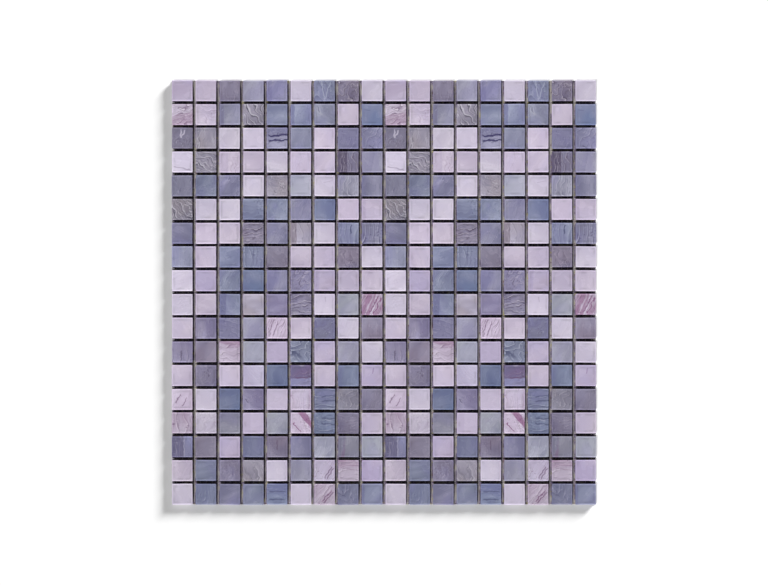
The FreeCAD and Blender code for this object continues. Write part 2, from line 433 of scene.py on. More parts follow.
VEINS = {
    (1, 7): Vein(84, 0.4, 0, 15, -0.7, gap=-7),
    (2, 9): Vein(0, -3.5, 3.0, 5, 0.4),
    (3, 1): Vein(78, -0.2, 3.0, 7, -1.0, gap=-3),
    (3, 5): Vein(4, 0.9, 0.2, 16, 1.8, gap=3.6),
    (4, 1): Vein(-12, 0, -4.6, 14, 0.7),
    (4, 3): Vein(80, 3.0, -4.0, 8, 0.45, gap=2.2),
    (5, 7): Vein(10, 2.5, 3.0, 8, 0.45),
    (7, 8): Vein(90, 1.8, 2.6, 7, 0.9),
    (8, 4): Vein(88, 1.2, 0.5, 14, 0.35, gap=2.4),
    (10, 7): Vein(80, 0.6, 3.6, 4, 0.5),
    (10, 9): Vein(64, 2.4, -0.4, 15, 0.9, gap=2.6),
    (11, 5): Vein(68, -2.6, 0.4, 13, 0.7, gap=3.2),
    (12, 1): Vein(86, -0.8, -2.5, 8, 0.7),
    (13, 6): Vein(1, 2.0, -1.4, 13, 0.7),
    (13, 9): Vein(84, 0.8, 3.4, 5, 0.8),
    (14, 1): Vein(64, -0.6, -0.6, 8, 0.7, gap=5.2),
    (14, 4): Vein(-40, -4.6, -1.2, 4, 0.8),
    (14, 7): Vein(3, 3.0, 0.6, 12, 0.9, gap=3.4),
    (15, 6): Vein(-48, -2.8, -3.0, 9, 1.0),
    (15, 7): Vein(-3, 3.0, 1.4, 12, 0.9, gap=3.8),
    (16, 1): Vein(92, 1.4, 0, 15, -0.4),
    (16, 5): Vein(90, 0, 1.5, 8, 0.7),
    (17, 7): Vein(58, 3.2, -1.8, 11, 0.8, gap=1.6),
    (17, 8): Vein(4, 2.5, 1.0, 9, 0.5),
    (18, 5): Vein(0, 0, -0.8, 13, 0.9, gap=5.6),
    (18, 7): Vein(48, 2.2, -1.6, 12, 0.9, gap=1.8),
}

# A tessera with marks and no seam lies beyond a seam of no depth, so that a stain may reach all over it.
NO_SEAM = Seam(0, -90, 0.0)
NO_VEIN = Vein(0, 0, 0, 1, 0.0)


def usual_mark(glass, draw):
    """How a tessera with no mark of its own is streaked."""
    streaks = GLASSES[glass].streaks * draw.uniform(0.2, 1.0)
    return Mark(draw.uniform(-90, 90), streaks, swirl=draw.uniform(0, 0.5), width=draw.uniform(0.8, 1.3),
                tone=draw.normal(0, 0.16))


def usual_seam(draw):
    """A soft meeting of two tones, which two in three of the other tesserae have."""
    angle = draw.choice([0, 90, 90, 180, 270]) + draw.normal(0, 12)
    return Seam(angle, draw.uniform(-6, 2), draw.choice([0.0, 0.15, 0.3]))


def laid_tesserae(node):
    """Where the tesserae of a node lie: course, column, centre and turn of each."""
    points = np.array([vertex.co for vertex in node.data.vertices])
    columns = np.floor(points[:, 0] / PITCH + COLUMNS / 2).astype(int)
    courses = np.floor(COURSES / 2 - points[:, 1] / PITCH).astype(int)
    laid = []
    for course, column in sorted(set(zip(courses.tolist(), columns.tolist()))):
        own = points[(courses == course) & (columns == column), :2]
        rising = own[:, 0] + own[:, 1]
        falling = own[:, 0] - own[:, 1]
        lower_left, upper_right = own[np.argmin(rising)], own[np.argmax(rising)]
        upper_left, lower_right = own[np.argmin(falling)], own[np.argmax(falling)]
        centre = (lower_left + upper_right + upper_left + lower_right) / 4
        along = lower_right - lower_left
        laid.append((course, column, centre, math.atan2(along[1], along[0])))
    return laid


LAID = {glass: laid_tesserae(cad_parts[f"{glass}_tesserae"]) for glass in GLASSES}


def at_place(local, heights, centre, turn):
    """Points about a tessera's own centre, moved to where it lies in the sheet, at the heights given."""
    x = centre[0] + local[:, 0] * math.cos(turn) - local[:, 1] * math.sin(turn)
    y = centre[1] + local[:, 0] * math.sin(turn) + local[:, 1] * math.cos(turn)
    return np.stack([x, y, heights], 1)


def waves(draw, places, shortest, longest, count=4):
    """A smooth uneven field from -1 to 1 over places in a plane, from a few sine waves."""
    total = np.zeros(len(places))
    for _ in range(count):
        way = draw.uniform(0, 2 * math.pi)
        length = draw.uniform(shortest, longest)
        phase = draw.uniform(0, 2 * math.pi)
        distance = places[:, 0] * math.cos(way) + places[:, 1] * math.sin(way)
        total += np.sin(2 * math.pi * distance / length + phase)
    return total / count


def face_lines():
    """The distances from the middle at which the face is divided, close together over the arris."""
    inner = np.linspace(SHOULDER_WIDTH - HALF, HALF - SHOULDER_WIDTH, FACE_CELLS + 1)
    outer = [HALF - RIM_WIDTH, HALF - ARRIS_WIDTH]
    outer += [HALF - ARRIS_WIDTH + ARRIS_RADIUS * math.sin(math.radians(angle)) for angle in ARRIS_ANGLES]
    return np.concatenate([-np.array(outer[::-1]), inner, outer])


LINES = face_lines()
ROWS = len(LINES)
LAST = ROWS - 1
FACE_POINTS = ROWS * ROWS


def grid_border():
    """The numbers of the face grid's border points, counterclockwise from the lower left corner."""
    lower = list(range(LAST))
    right = [row * ROWS + LAST for row in range(LAST)]
    upper = [LAST * ROWS + column for column in range(LAST, 0, -1)]
    left = [row * ROWS for row in range(LAST, 0, -1)]
    return np.array(lower + right + upper + left)


BORDER = grid_border()
RING = len(BORDER)


def rounded(x, y):
    """The face grid's points with its corners rounded, and how far in each is, as a share of the arris."""
    straight = HALF - ARRIS_WIDTH
    over_x = np.clip((np.abs(x) - straight) / ARRIS_WIDTH, 0, 1)
    over_y = np.clip((np.abs(y) - straight) / ARRIS_WIDTH, 0, 1)
    round_x = over_x * (1 - CORNER_ROUNDING * (1 - np.sqrt(1 - over_y ** 2 / 2)))
    round_y = over_y * (1 - CORNER_ROUNDING * (1 - np.sqrt(1 - over_x ** 2 / 2)))
    new_x = np.where(over_x > 0, np.sign(x) * (straight + ARRIS_WIDTH * round_x), x)
    new_y = np.where(over_y > 0, np.sign(y) * (straight + ARRIS_WIDTH * round_y), y)
    return new_x, new_y, 1 - np.minimum((over_x ** 4 + over_y ** 4) ** 0.25, 1)


def rib_heights(edge):
    """The heights of the back's border, where low ribs run from side to side."""
    row = np.argmin(np.abs(edge[:, 1][:, None] - LINES[None, :]), axis=1)
    inner = (row > len(ARRIS_ANGLES)) & (row < LAST - len(ARRIS_ANGLES))
    return np.where(inner & (row % 2 == 1), RIB_DEPTH, 0.0)


def tessera_points(draw):
    """The points of one tessera about its own centre, with its back at no height."""
    grid_y, grid_x = np.meshgrid(LINES, LINES, indexing="ij")
    x, y, inset = rounded(grid_x.ravel(), grid_y.ravel())
    places = np.stack([x, y], 1)
    reach = np.maximum(np.abs(x), np.abs(y))
    arris = ARRIS_RADIUS - np.sqrt(ARRIS_RADIUS ** 2 - ((1 - inset) * ARRIS_WIDTH) ** 2)
    shoulder = np.clip(1 - (HALF - reach) / SHOULDER_WIDTH, 0, 1) ** 2 * SHOULDER_DROP
    relief = 0.5 * FACE_RELIEF * (1 + waves(draw, places, *FACE_WAVES))
    z = THICKNESS - arris - shoulder - relief
    # The edge wavers inwards, and the outer third of the face goes with it
    waver = 0.5 * EDGE_WAVER * (1 + waves(draw, places, *EDGE_WAVES))
    pulled = 1 - np.clip(reach / HALF * 3 - 2, 0, 1) * waver / HALF
    face = np.stack([x * pulled, y * pulled, z], 1)
    edge = face[BORDER]
    rings = [face]
    narrowing = FOOT_HEIGHT * math.tan(FOOT_DRAFT)
    levels = (
        (0, THICKNESS - ARRIS_DROP - LAND_DROP),
        (0, FOOT_HEIGHT),
        (narrowing * EASE_NARROWING, BACK_EASE + RIB_DEPTH),
        (narrowing + BACK_EASE / 2, rib_heights(edge)),
    )
    for inward, height in levels:
        shrink = 1 - inward / HALF
        rings.append(np.column_stack([edge[:, :2] * shrink, height * np.ones(RING)]))
    return np.concatenate(rings)


def tessera_faces():
    """The faces of one tessera, each a tuple of point numbers, outward side first."""
    faces = []
    for row in range(LAST):
        for column in range(LAST):
            corner = row * ROWS + column
            faces.append((corner, corner + 1, corner + ROWS + 1, corner + ROWS))
    firsts = [FACE_POINTS + turn * RING for turn in range(SIDE_RINGS)]
    rings = [BORDER] + [np.arange(first, first + RING) for first in firsts]
    for upper, lower in zip(rings, rings[1:]):
        for step in range(RING):
            after = (step + 1) % RING
            faces.append((upper[step], lower[step], lower[after], upper[after]))
    back = rings[-1]
    right = [back[LAST + row] for row in range(ROWS)]
    left = [back[-row] for row in range(ROWS)]
    lower = [back[column] for column in range(LAST, -1, -1)]
    upper = [back[2 * LAST + column] for column in range(ROWS)]
    faces.append(tuple([left[1], right[1]] + lower))
    for row in range(1, LAST - 1):
        faces.append((left[row], left[row + 1], right[row + 1], right[row]))
    faces.append(tuple(upper + [left[LAST - 1], right[LAST - 1]]))
    return faces


def mesh_object(name, points, faces, material):
    """An object from points and faces, smooth but for its sharp edges, with its material."""
    mesh = bpy.data.meshes.new(name)
    totals = np.array([len(face) for face in faces], np.int32)
    corners = np.concatenate([np.asarray(face, np.int32) for face in faces])
    mesh.vertices.add(len(points))
    mesh.vertices.foreach_set("co", np.asarray(points, np.float32).ravel())
    mesh.loops.add(len(corners))
    mesh.loops.foreach_set("vertex_index", corners)
    mesh.polygons.add(len(faces))
    mesh.polygons.foreach_set("loop_start", (np.cumsum(totals) - totals).astype(np.int32))
    mesh.polygons.foreach_set("loop_total", totals)
    mesh.update(calc_edges=True)
    mesh.validate()
    mesh.shade_smooth()
    mesh.set_sharp_from_angle(angle=SHARP_ANGLE)
    mesh.materials.append(material)
    item = bpy.data.objects.new(name, mesh)
    bpy.context.scene.collection.objects.link(item)
    return item


# The values that a tessera's mesh holds at each point, and the kind of each
VALUE_KINDS = {"grain": "FLOAT_VECTOR", "traits": "FLOAT_COLOR", "seam": "FLOAT_VECTOR",
               "vein": "FLOAT_COLOR", "rim": "FLOAT", "joint_shade": "FLOAT"}
VALUE_KEYS = {"FLOAT": "value", "FLOAT_VECTOR": "vector", "FLOAT_COLOR": "color"}


def add_values(item, name, values):
    """A named value at each point of an object's mesh, which its material reads."""
    kind = VALUE_KINDS[name]
    attribute = item.data.attributes.new(name, kind, "POINT")
    attribute.data.foreach_set(VALUE_KEYS[kind], np.asarray(values, np.float32).ravel())


def turned(x, y, angle):
    """A place along and across a direction."""
    cosine, sine = math.cos(math.radians(angle)), math.sin(math.radians(angle))
    return x * cosine + y * sine, y * cosine - x * sine


def side_by_side(*values):
    """Values at each point as the columns of one array, with a plain number repeated at each point."""
    return np.stack(np.broadcast_arrays(*values), 1)


def seam_values(x, y, own, cool):
    """How far each point lies beyond the seam, how deep the tone is there, and how cool the glass is."""
    turn = math.radians(own.angle)
    left_of = y * math.cos(turn) - x * math.sin(turn)
    # The place of a steep seam is its x, and that of a level one its y
    steep = abs(math.cos(turn)) < 0.7
    offset = own.place * (-math.sin(turn) if steep else math.cos(turn))
    beyond = np.minimum(left_of - offset, own.width - left_of + offset)
    return side_by_side(beyond, own.depth, cool)


def vein_values(x, y, own):
    """Where each point lies across and along the vein, its strength, and how far its two lines part."""
    lengthwise, sideways = turned(x - own.x, y - own.y, own.angle)
    lengthwise = 2 * lengthwise / own.length
    apart = own.gap / 2 if own.gap >= 0 else -own.gap * (1 + lengthwise) / 4
    return side_by_side(sideways, lengthwise, own.strength, apart)


def painted_shade_values(local, course, column):
    """How much painted shade darkens each point: all of it low in a joint, and little on the sheet's outside,
    where the light reaches.
    """
    x, y = local[:, 0], local[:, 1]
    near = HALF - ARRIS_WIDTH - FOOT_HEIGHT * math.tan(FOOT_DRAFT)
    outside = ((x < -near) & (column == 0)) | ((x > near) & (column == COLUMNS - 1))
    outside |= ((y > near) & (course == 0)) | ((y < -near) & (course == COURSES - 1))
    low = np.zeros(len(local))
    low[FACE_POINTS:FACE_POINTS + RING] = PAINTED_SHADE_ON_LAND
    low[FACE_POINTS + RING:] = PAINTED_SHADE_ON_FOOT
    return np.where(outside, PAINTED_SHADE_OUTSIDE, 1.0) * low


def tessera_values(glass, course, column, local):
    """What the glass of one tessera looks like, as the values that its material reads at each point."""
    blend_column = column % BLEND_COLUMNS
    number = course * BLEND_COLUMNS + blend_column
    place = (course + 1, blend_column + 1)
    draw = np.random.default_rng([course, blend_column])
    plain_mark = usual_mark(glass, draw)
    plain_seam = usual_seam(draw)
    own = MARKS.get(place, plain_mark)
    own_seam = SEAMS.get(place, NO_SEAM if place in MARKS else plain_seam)
    x, y, z = (local / MM).T
    along, across = turned(x, y, own.angle)
    rim = (HALF - np.abs(local[:, :2]).max(axis=1)) / MM
    rim[FACE_POINTS:] = 0.0
    return {
        "grain": side_by_side(along, across / own.width, z + GRAIN_STEP * number),
        "traits": np.tile((own.streaks, own.swirl, own.stain, own.tone), (len(local), 1)),
        "seam": seam_values(x, y, own_seam, own.cool),
        "vein": vein_values(x, y, VEINS.get(place, NO_VEIN)),
        "rim": rim,
        "joint_shade": painted_shade_values(local, course, column),
    }


def make_tesserae(glass, material):
    """All the tesserae of one glass, laid where the frame has them."""
    template = tessera_faces()
    points, faces = [], []
    values = {name: [] for name in VALUE_KINDS}
    for course, column, centre, turn in LAID[glass]:
        local = tessera_points(np.random.default_rng([course, column, TESSERA_SEED]))
        for name, own in tessera_values(glass, course, column, local).items():
            values[name].append(own)
        start = len(points) * len(local)
        faces.extend(tuple(start + number for number in face) for face in template)
        points.append(at_place(local, local[:, 2] + mesh_top, centre, turn))
    item = mesh_object(f"{glass}_glass_tesserae", np.concatenate(points), faces, material)
    for name in VALUE_KINDS:
        add_values(item, name, np.concatenate(values[name]))
    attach(item, "root")
    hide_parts(f"{glass}_tesserae")
    return item


def bead_points(course, column, centre, turn):
    """The ring of adhesive at one tessera's foot, as rows of points across it, all the way round."""
    draw = np.random.default_rng([course, column, BEAD_SEED])
    around = 2 * math.pi * np.arange(BEAD_POINTS) / BEAD_POINTS
    square = np.stack([np.cos(around), np.sin(around)], 1)
    square /= np.abs(square).max(axis=1)[:, None]
    places = square * HALF
    height = BEAD_HEIGHT + BEAD_HEIGHT_SPREAD * waves(draw, places, *BEAD_HEIGHT_WAVES)
    reach = BEAD_REACH + BEAD_REACH_SPREAD * waves(draw, places, *BEAD_REACH_WAVES)
    on_border = column in (0, COLUMNS - 1) or course in (0, COURSES - 1)
    corner = np.abs(square).min(axis=1) > 0.99
    reach = np.where(on_border & corner, BEAD_END_REACH, reach)
    border = HALF - BORDER_CLEARANCE
    lowest = (-border if column == 0 else -PITCH, -border if course == COURSES - 1 else -PITCH)
    highest = (border if column == COLUMNS - 1 else PITCH, border if course == 0 else PITCH)
    under = -(FOOT_HEIGHT - height) * math.tan(FOOT_DRAFT) - BEAD_OVERLAP
    profile = (
        (under, mesh_top + height),
        ((under + reach) / 2 + BEAD_SHOULDER_OUT, mesh_top + BEAD_SHOULDER_SHARE * height),
        (reach, BEAD_BASE),
        (-BEAD_DEPTH, BEAD_BASE),
    )
    rows = []
    for outward, level_height in profile:
        local = np.clip(square * (HALF + outward * np.ones(BEAD_POINTS))[:, None], lowest, highest)
        rows.append(at_place(local, level_height * np.ones(BEAD_POINTS), centre, turn))
    return np.stack(rows, 1).reshape(-1, 3)


def make_beads(material):
    """The adhesive that holds the tesserae to the mesh, pressed out a little into the joints."""
    points, faces = [], []
    for laid in LAID.values():
        for course, column, centre, turn in laid:
            start = len(points) * BEAD_POINTS * BEAD_ROWS
            points.append(bead_points(course, column, centre, turn))
            for step in range(BEAD_POINTS):
                here = start + BEAD_ROWS * step
                after = start + BEAD_ROWS * ((step + 1) % BEAD_POINTS)
                for row in range(BEAD_ROWS):
                    following = (row + 1) % BEAD_ROWS
                    faces.append((here + row, here + following, after + following, after + row))
    item = mesh_object("adhesive_beads", np.concatenate(points), faces, material)
    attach(item, "root")
    return item


def yarn_faces(start, steps):
    """The faces of one yarn whose points begin at a number: its sides, and a cap at each end."""
    faces = []
    for step in range(steps - 1):
        corner = start + step * YARN_SIDES
        for side in range(YARN_SIDES):
            after = (side + 1) % YARN_SIDES
            faces.append((corner + side, corner + YARN_SIDES + side,
                          corner + YARN_SIDES + after, corner + after))
    last = start + (steps - 1) * YARN_SIDES
    faces.append(tuple(start + side for side in range(YARN_SIDES)))
    faces.append(tuple(last + side for side in reversed(range(YARN_SIDES))))
    return faces


def make_yarns(node, along, material):
    """One layer of the mesh: flattened yarns that rise and dip a little at each crossing."""
    low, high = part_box(node)
    across = 1 - along
    pitch = PITCH / YARNS_PER_TESSERA
    count = round((high[across] - low[across] - YARN_WIDTH) / pitch) + 1
    rise = (high.z - low.z) / 2 - YARN_HALF_RISE
    steps = 2 * round((high[along] - low[along]) / pitch) + 1
    stations = np.linspace(low[along], high[along], steps)
    turn = 2 * math.pi * np.arange(YARN_SIDES) / YARN_SIDES
    points, faces = [], []
    for number in range(count):
        middle = low[across] + YARN_WIDTH / 2 + number * pitch
        wave = YARN_HALF_RISE * np.cos(math.pi * stations / pitch + math.pi * number)
        yarn = np.zeros((steps, YARN_SIDES, 3))
        yarn[:, :, along] = stations[:, None]
        yarn[:, :, across] = middle + YARN_WIDTH / 2 * np.cos(turn)[None, :]
        yarn[:, :, 2] = (low.z + high.z) / 2 + wave[:, None] + rise * np.sin(turn)[None, :]
        faces.extend(yarn_faces(len(points) * steps * YARN_SIDES, steps))
        points.append(yarn.reshape(-1, 3))
    item = mesh_object(node.replace("mesh_", "woven_"), np.concatenate(points), faces, material)
    # A yarn along X goes round the other way from one along Y
    if along == 0:
        item.data.flip_normals()
    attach(item, "root")
    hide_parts(node)
    return item


class Graph:
    """A material's node tree, with short calls for the nodes that it needs."""

    def __init__(self, name):
        self.material = bpy.data.materials.new(name)
        self.material.use_nodes = True
        self.nodes = self.material.node_tree.nodes
        self.links = self.material.node_tree.links
        self.shader = self.nodes["Principled BSDF"]

    def plug(self, source, target):
        """Link a socket, or set a plain value."""
        if isinstance(source, bpy.types.NodeSocket):
            self.links.new(source, target)
        else:
            target.default_value = source

    def attribute(self, name):
        """The outputs of a value that the mesh holds."""
        node = self.nodes.new("ShaderNodeAttribute")
        node.attribute_name = name
        return node.outputs

    def place(self):
        """The place on the object, in millimetres."""
        return self.scaled(self.nodes.new("ShaderNodeTexCoord").outputs["Object"], 1 / MM)

    def parts(self, source):
        """The three parts of a vector or colour."""
        node = self.nodes.new("ShaderNodeSeparateXYZ")
        self.plug(source, node.inputs[0])
        return node.outputs

    def calculate(self, operation, first, second=0.0):
        """One calculation on one or two numbers."""
        node = self.nodes.new("ShaderNodeMath")
        node.operation = operation
        self.plug(first, node.inputs[0])
        self.plug(second, node.inputs[1])
        return node.outputs[0]

    def add(self, *values):
        """All the numbers added up."""
        total = values[0]
        for value in values[1:]:
            total = self.calculate("ADD", total, value)
        return total

    def times(self, *values):
        """All the numbers multiplied."""
        total = values[0]
        for value in values[1:]:
            total = self.calculate("MULTIPLY", total, value)
        return total

    def vector(self, operation, first, second):
        """One calculation on two vectors."""
        node = self.nodes.new("ShaderNodeVectorMath")
        node.operation = operation
        self.plug(first, node.inputs[0])
        self.plug(second, node.inputs[1])
        return node.outputs[0]

    def scaled(self, first, amount):
        """A vector times a number."""
        node = self.nodes.new("ShaderNodeVectorMath")
        node.operation = "SCALE"
        self.plug(first, node.inputs[0])
        self.plug(amount, node.inputs["Scale"])
        return node.outputs[0]

    def noise(self, place, stretch, detail=2.0, roughness=0.5, offset=None, output="Fac"):
        """Noise with so many waves a millimetre, along all axes or each, taken elsewhere by an offset."""
        node = self.nodes.new("ShaderNodeTexNoise")
        node.inputs["Scale"].default_value = 1.0
        node.inputs["Detail"].default_value = detail
        node.inputs["Roughness"].default_value = roughness
        if offset:
            place = self.vector("ADD", place, offset)
        stretch = stretch if isinstance(stretch, tuple) else (stretch, stretch, stretch)
        self.plug(self.vector("MULTIPLY", place, stretch), node.inputs["Vector"])
        return node.outputs[output]

    def smooth(self, value, low, high):
        """0 below low and 1 above high, or the other way round, with a soft change between."""
        node = self.nodes.new("ShaderNodeMapRange")
        node.interpolation_type = "SMOOTHSTEP"
        self.plug(value, node.inputs["Value"])
        node.inputs["From Min"].default_value = low
        node.inputs["From Max"].default_value = high
        return node.outputs["Result"]

    def mix(self, share, first, second):
        """The first colour, with a share of the second over it."""
        node = self.nodes.new("ShaderNodeMix")
        node.data_type = "RGBA"
        self.plug(share, node.inputs[0])
        self.plug(first, node.inputs[6])
        self.plug(second, node.inputs[7])
        return node.outputs[2]

    def bump(self, height, distance):
        """The normal of a surface with fine relief."""
        node = self.nodes.new("ShaderNodeBump")
        node.inputs["Distance"].default_value = distance
        self.plug(height, node.inputs["Height"])
        return node.outputs["Normal"]


def glass_fields(graph):
    """What the mesh says about the glass at each point, and the patterns that its layers share."""
    traits = graph.attribute("traits")
    streaks, swirl, stain = graph.parts(traits["Vector"])
    seam_side, seam_depth, cool = graph.parts(graph.attribute("seam")["Vector"])
    grain = graph.attribute("grain")["Vector"]
    rim = graph.attribute("rim")["Fac"]
    drift = graph.vector("SUBTRACT", graph.noise(grain, 0.11, output="Color"), (0.5, 0.5, 0.5))
    flow = graph.vector("ADD", grain, graph.scaled(drift, graph.times(swirl, SWIRL_REACH)))
    wobble = graph.calculate("SUBTRACT", graph.noise(grain, 0.3, 1.0), 0.5)
    lines = graph.noise(flow, (0.1, 1.25, 0.8), offset=(3.0, 71.0, 5.0))
    folds = graph.noise(flow, (0.05, 0.15, 0.1), 1.0, offset=(9.0, 13.0, 2.0))
    folded = graph.times(folds, graph.add(2.0, graph.times(swirl, 4.0)))
    strata = graph.calculate("FRACT", graph.add(folded, graph.times(graph.parts(flow)[1], 0.4)))
    patch = graph.smooth(graph.noise(grain, (0.13, 0.13, 0.1), 1.0), 0.38, 0.6)
    return types.SimpleNamespace(
        grain=grain, flow=flow, wobble=wobble, lines=lines, strata=strata, patch=patch, rim=rim,
        streaks=streaks, swirl=swirl, stain=stain, tone=traits["Alpha"], seam_depth=seam_depth, cool=cool,
        beyond=graph.smooth(graph.add(seam_side, graph.times(wobble, 1.2)), -0.25, 0.25),
        held=graph.times(streaks, graph.calculate("MAXIMUM", patch, graph.times(streaks, streaks))),
        # The arris: rougher from wear, and lightened there as a painted highlight
        arris_wear_and_highlight=graph.smooth(rim, 1.1, 0.7),
        # Where shade is painted on the sides in the joints, which are also rougher there
        joint_shade=graph.attribute("joint_shade")["Fac"])


def glass_tones(graph, at, glass):
    """Broad tones that flow into each other, deeper beyond the seam, bluer where cool, and banded."""
    broad = graph.smooth(graph.noise(at.flow, (0.03, 0.06, 0.05)), 0.34, 0.66)
    tinted = graph.smooth(graph.noise(at.flow, (0.04, 0.07, 0.1), 1.0, offset=(40.0, 0.0, 9.0)), 0.42, 0.66)
    bands = graph.noise(at.flow, (0.05, 0.42, 0.3), 3.0, 0.6)
    deepened = graph.times(at.beyond, at.seam_depth)
    body = graph.mix(broad, glass.deep, glass.pale)
    body = graph.mix(graph.times(tinted, TINT_COVER), body, glass.tint)
    body = graph.mix(graph.times(deepened, SEAM_TINT_COVER), body, glass.tint)
    body = graph.mix(graph.times(deepened, deepened, SEAM_DARK_COVER), body, glass.dark)
    body = graph.mix(at.cool, body, graph.vector("MULTIPLY", body, COOL))
    banding = graph.times(graph.calculate("SUBTRACT", bands, 0.5), at.streaks, BANDING)
    return graph.vector("MULTIPLY", body, graph.add(1.0, graph.times(at.tone, TONE_STEP), banding))


def with_streaks(graph, at, glass, body):
    """Dark and light streaks over the body, from strata and fine lines, in the patches that hold them."""
    dark = graph.calculate("MAXIMUM", graph.smooth(at.strata, 0.74, 0.98), graph.smooth(at.lines, 0.58, 0.72))
    light = graph.calculate("MAXIMUM", graph.smooth(at.strata, 0.2, 0.02), graph.smooth(at.lines, 0.42, 0.28))
    body = graph.mix(graph.times(dark, at.held, DARK_STREAK_COVER), body, glass.dark)
    return graph.mix(graph.times(light, at.held, LIGHT_STREAK_COVER), body, glass.light)


def with_bubbles(graph, at, glass, body):
    """Clusters of small dark and light bubbles over the body of streaky glass."""
    bubbles = graph.noise(at.grain, 0.9, 1.0)
    cluster = graph.smooth(graph.noise(at.grain, 0.1, 1.0, offset=(5.0, 31.0, 0.0)), 0.5, 0.62)
    cluster = graph.times(cluster, graph.calculate("MINIMUM", graph.times(at.streaks, 2.0), 1.0))
    dark = graph.times(graph.smooth(bubbles, 0.62, 0.72), cluster, DARK_BUBBLE_COVER)
    light = graph.times(graph.smooth(bubbles, 0.36, 0.28), cluster, LIGHT_BUBBLE_COVER)
    return graph.mix(light, graph.mix(dark, body, glass.dark), glass.light)


def with_vein(graph, at, glass, body):
    """The tessera's own vein over the body, dark or light, and stained where the glass is."""
    vein = graph.attribute("vein")
    sideways, lengthwise, strength = graph.parts(vein["Vector"])
    bent = graph.add(sideways, graph.times(at.wobble, graph.add(1.2, graph.times(at.swirl, 5.0))))
    from_line = graph.calculate("SUBTRACT", graph.calculate("ABSOLUTE", bent), vein["Alpha"])
    size = graph.calculate("ABSOLUTE", strength)
    past_edge = graph.calculate("SUBTRACT", graph.calculate("ABSOLUTE", from_line), graph.times(size, 0.25))
    thin = graph.smooth(past_edge, 0.4, 0.0)
    ended = graph.smooth(graph.calculate("ABSOLUTE", lengthwise), 1.0, 0.75)
    veined = graph.times(thin, ended, graph.calculate("MINIMUM", graph.times(size, 0.9), 1.0))
    is_dark = graph.calculate("GREATER_THAN", strength, 0.0)
    stained = graph.calculate("MINIMUM", graph.times(at.stain, 0.8), 0.9)
    vein_colour = graph.mix(is_dark, glass.light, glass.dark)
    vein_colour = graph.mix(graph.times(stained, is_dark), vein_colour, glassy(*STAIN))
    return graph.mix(veined, body, vein_colour)


def with_stain(graph, at, body):
    """The stain over the body, in soft pleats beyond the seam."""
    pleats = graph.noise(at.flow, (0.03, 0.27, 0.2), 1.0, offset=(17.0, 3.0, 8.0))
    stained = graph.times(graph.smooth(pleats, 0.36, 0.62), at.stain, at.stain, at.beyond)
    return graph.mix(graph.times(stained, STAIN_COVER), body, glassy(*STAIN))


def with_rim(graph, at, body):
    """The body darker in places inside the rim, lightened on the arris as a painted highlight, and darkened
    low in the joints as painted shade.
    """
    in_places = graph.smooth(graph.noise(at.grain, 0.13, 1.0), 0.42, 0.66)
    rim_shade = graph.times(graph.smooth(at.rim, 0.9, 1.3), graph.smooth(at.rim, 3.2, 1.6), in_places)
    # Painted highlight: the arris is lightened, standing in for the glints on it
    lightness = graph.add(1.0, graph.times(rim_shade, -RIM_SHADE), graph.times(at.arris_wear_and_highlight, PAINTED_ARRIS_HIGHLIGHT))
    body = graph.vector("MULTIPLY", body, lightness)
    # Painted shade: low on the sides in the joints the glass is darkened almost to black, less on the sheet's
    # outside
    return graph.mix(graph.times(at.joint_shade, PAINTED_SHADE_COVER), body, colour(*PAINTED_SHADE))


def glass_relief(graph, at):
    """The face's fine relief: along the streaks, in wrinkled patches, and in nicks on the arris."""
    wrinkled = graph.times(graph.smooth(graph.noise(at.grain, (0.22, 0.22, 0.2), 1.0), 0.58, 0.7),
                           graph.noise(at.flow, (1.1, 1.6, 1.1), 1.0), 1.6)
    nicks = graph.times(graph.smooth(at.rim, 1.1, 0.5), graph.noise(at.grain, 0.8, 1.0), 0.3)
    pressed = graph.add(graph.times(at.lines, at.streaks), graph.times(at.strata, at.held, 0.7), wrinkled,
                        graph.noise(at.grain, (0.3, 0.5, 0.3)))
    return graph.add(graph.times(pressed, graph.smooth(at.rim, 0.7, 1.7)), nicks)


def glass_material(name, glass):
    """Streaky opal glass, layer over layer, with values of its own at each tessera."""
    graph = Graph(name)
    at = glass_fields(graph)
    inside = Glass(*[glassy(*tone) for tone in glass[:5]], glass.streaks)
    body = glass_tones(graph, at, inside)
    body = with_streaks(graph, at, inside, body)
    body = with_bubbles(graph, at, inside, body)
    body = with_vein(graph, at, inside, body)
    body = with_stain(graph, at, body)
    body = with_rim(graph, at, body)
    graph.plug(body, graph.shader.inputs["Base Color"])
    roughness = graph.add(0.2, graph.times(at.patch, 0.08), graph.times(at.arris_wear_and_highlight, 0.1),
                          graph.times(at.joint_shade, 0.3))
    graph.plug(roughness, graph.shader.inputs["Roughness"])
    graph.shader.inputs["IOR"].default_value = GLASS_IOR
    graph.plug(graph.bump(glass_relief(graph, at), GLASS_BUMP), graph.shader.inputs["Normal"])
    return graph.material


def yarn_material(name, dark, light, binder):
    """Coated glass yarn: fine fibres between two tones, with patches of its dull, slightly olive binder."""
    graph = Graph(name)
    place = graph.place()
    fibres = graph.noise(place, (3.0, 3.0, 6.0), 3.0, 0.6)
    patches = graph.noise(place, 0.25)
    body = graph.mix(fibres, colour(*dark), colour(*light))
    body = graph.mix(graph.smooth(patches, 0.5, 0.75), body, colour(*binder))
    graph.plug(body, graph.shader.inputs["Base Color"])
    graph.shader.inputs["Roughness"].default_value = 0.6
    graph.shader.inputs["Specular IOR Level"].default_value = DULL_SPECULAR
    graph.plug(graph.bump(fibres, YARN_BUMP), graph.shader.inputs["Normal"])
    return graph.material


